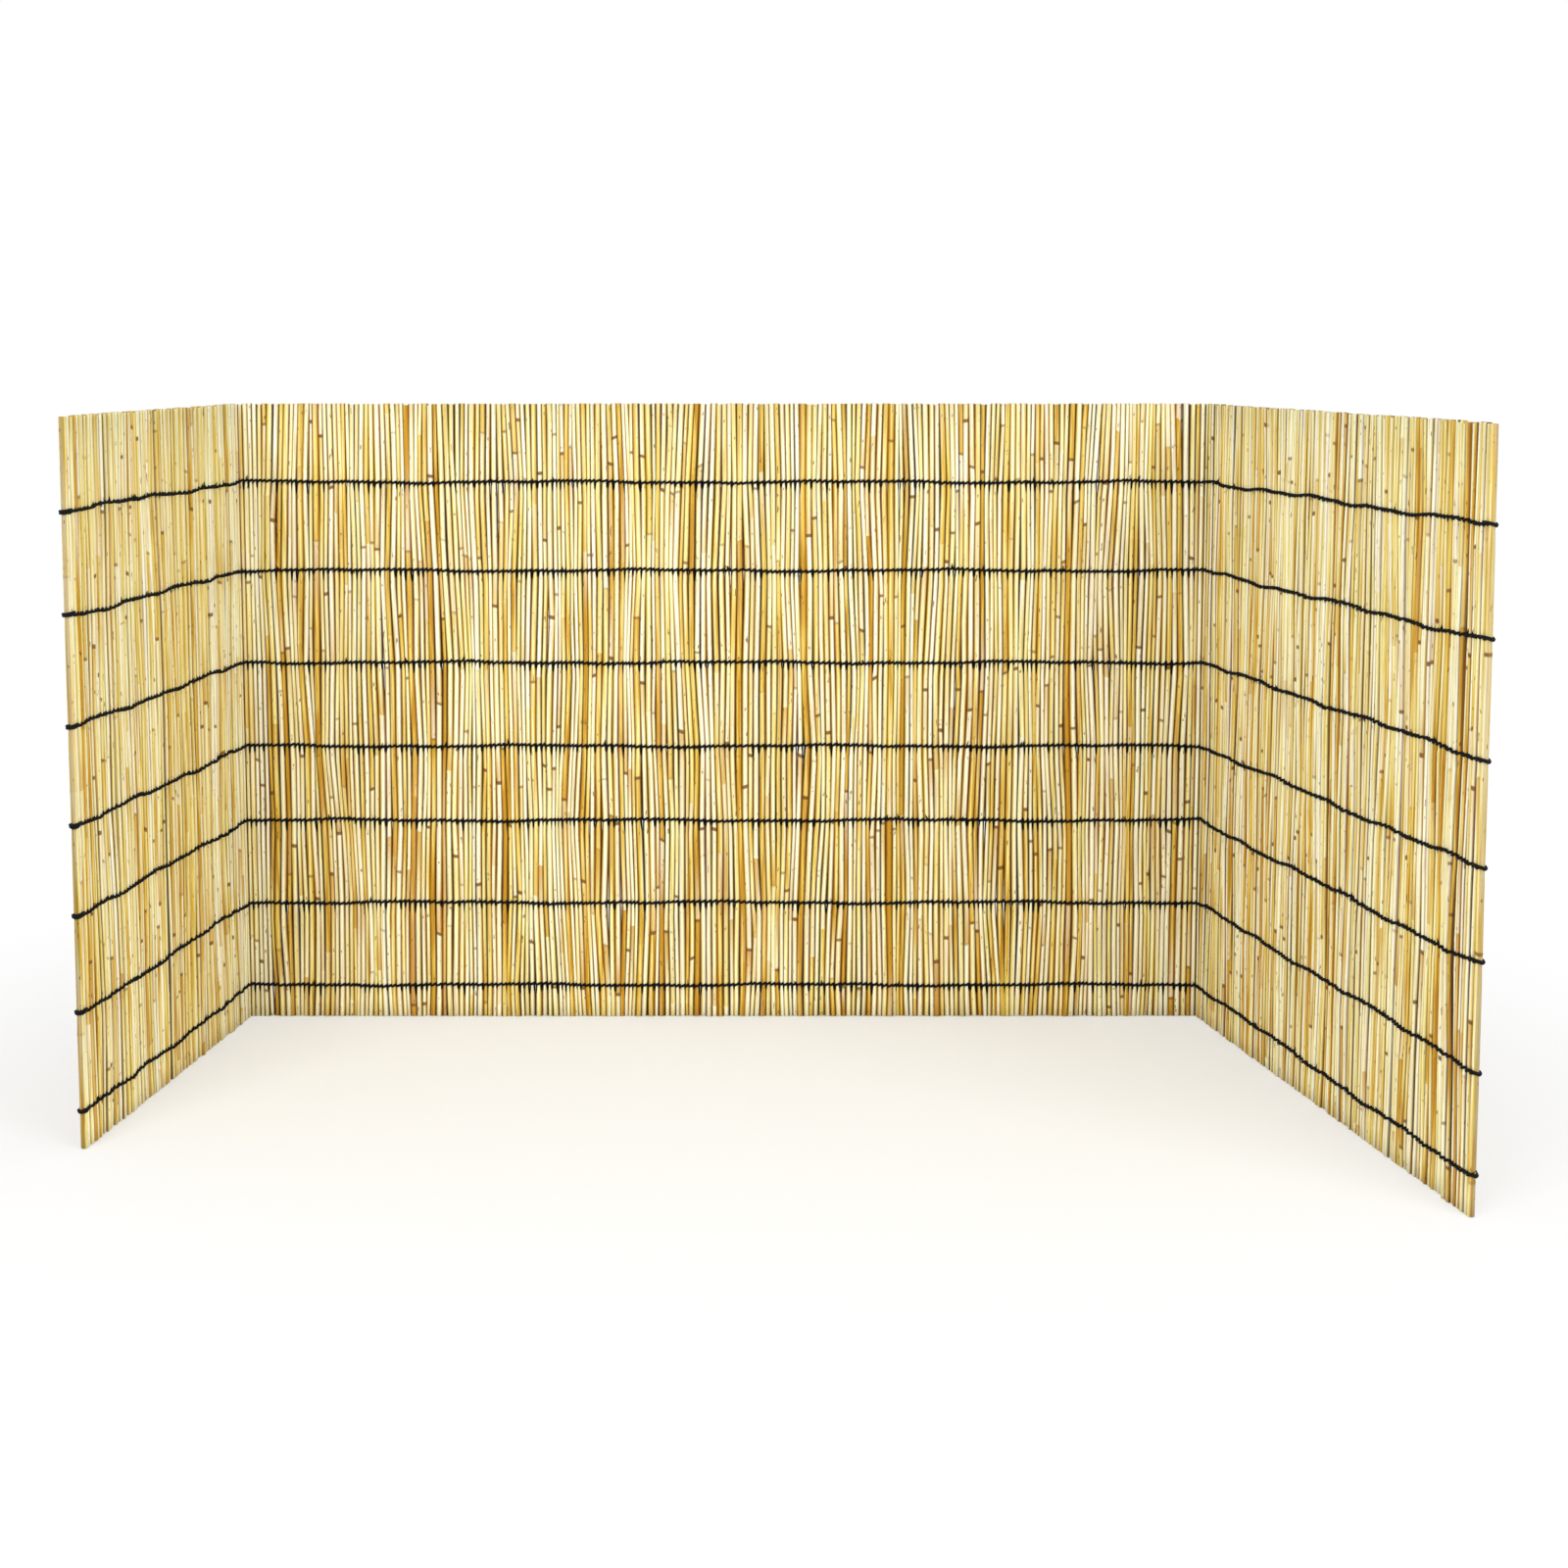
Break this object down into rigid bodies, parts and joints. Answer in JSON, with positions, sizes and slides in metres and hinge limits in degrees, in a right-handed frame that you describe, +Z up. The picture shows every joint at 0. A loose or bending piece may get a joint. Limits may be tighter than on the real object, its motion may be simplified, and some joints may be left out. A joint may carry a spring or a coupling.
{
  "type": "reed screen",
  "caption": "Privacy screen of upright dried reeds held side by side by rows of twined black cord, unrolled and standing on its cut ends around three sides of a bay.",
  "frame": {"origin": "on the floor, below the middle of the back stretch, on the mat's middle plane", "axes": "+Z up along the reeds, +X along the back stretch from the left wing to the right wing, and the open side of the bay towards -Y"},
  "size_m": [1.8413, 0.8411, 1],
  "materials": {
    "reed": "natural dried stem, satin",
    "cord": "black twisted yarn, matt"
  },
  "bodies": {
    "root": {"left_wing_reeds": "reed", "back_reeds": "reed", "right_wing_reeds": "reed", "row_1_upper_cord": "cord", "row_1_lower_cord": "cord", "row_2_upper_cord": "cord", "row_2_lower_cord": "cord", "row_3_upper_cord": "cord", "row_3_lower_cord": "cord", "row_4_upper_cord": "cord", "row_4_lower_cord": "cord", "row_5_upper_cord": "cord", "row_5_lower_cord": "cord", "row_6_upper_cord": "cord", "row_6_lower_cord": "cord", "row_7_upper_cord": "cord", "row_7_lower_cord": "cord"}
  },
  "joints": []
}
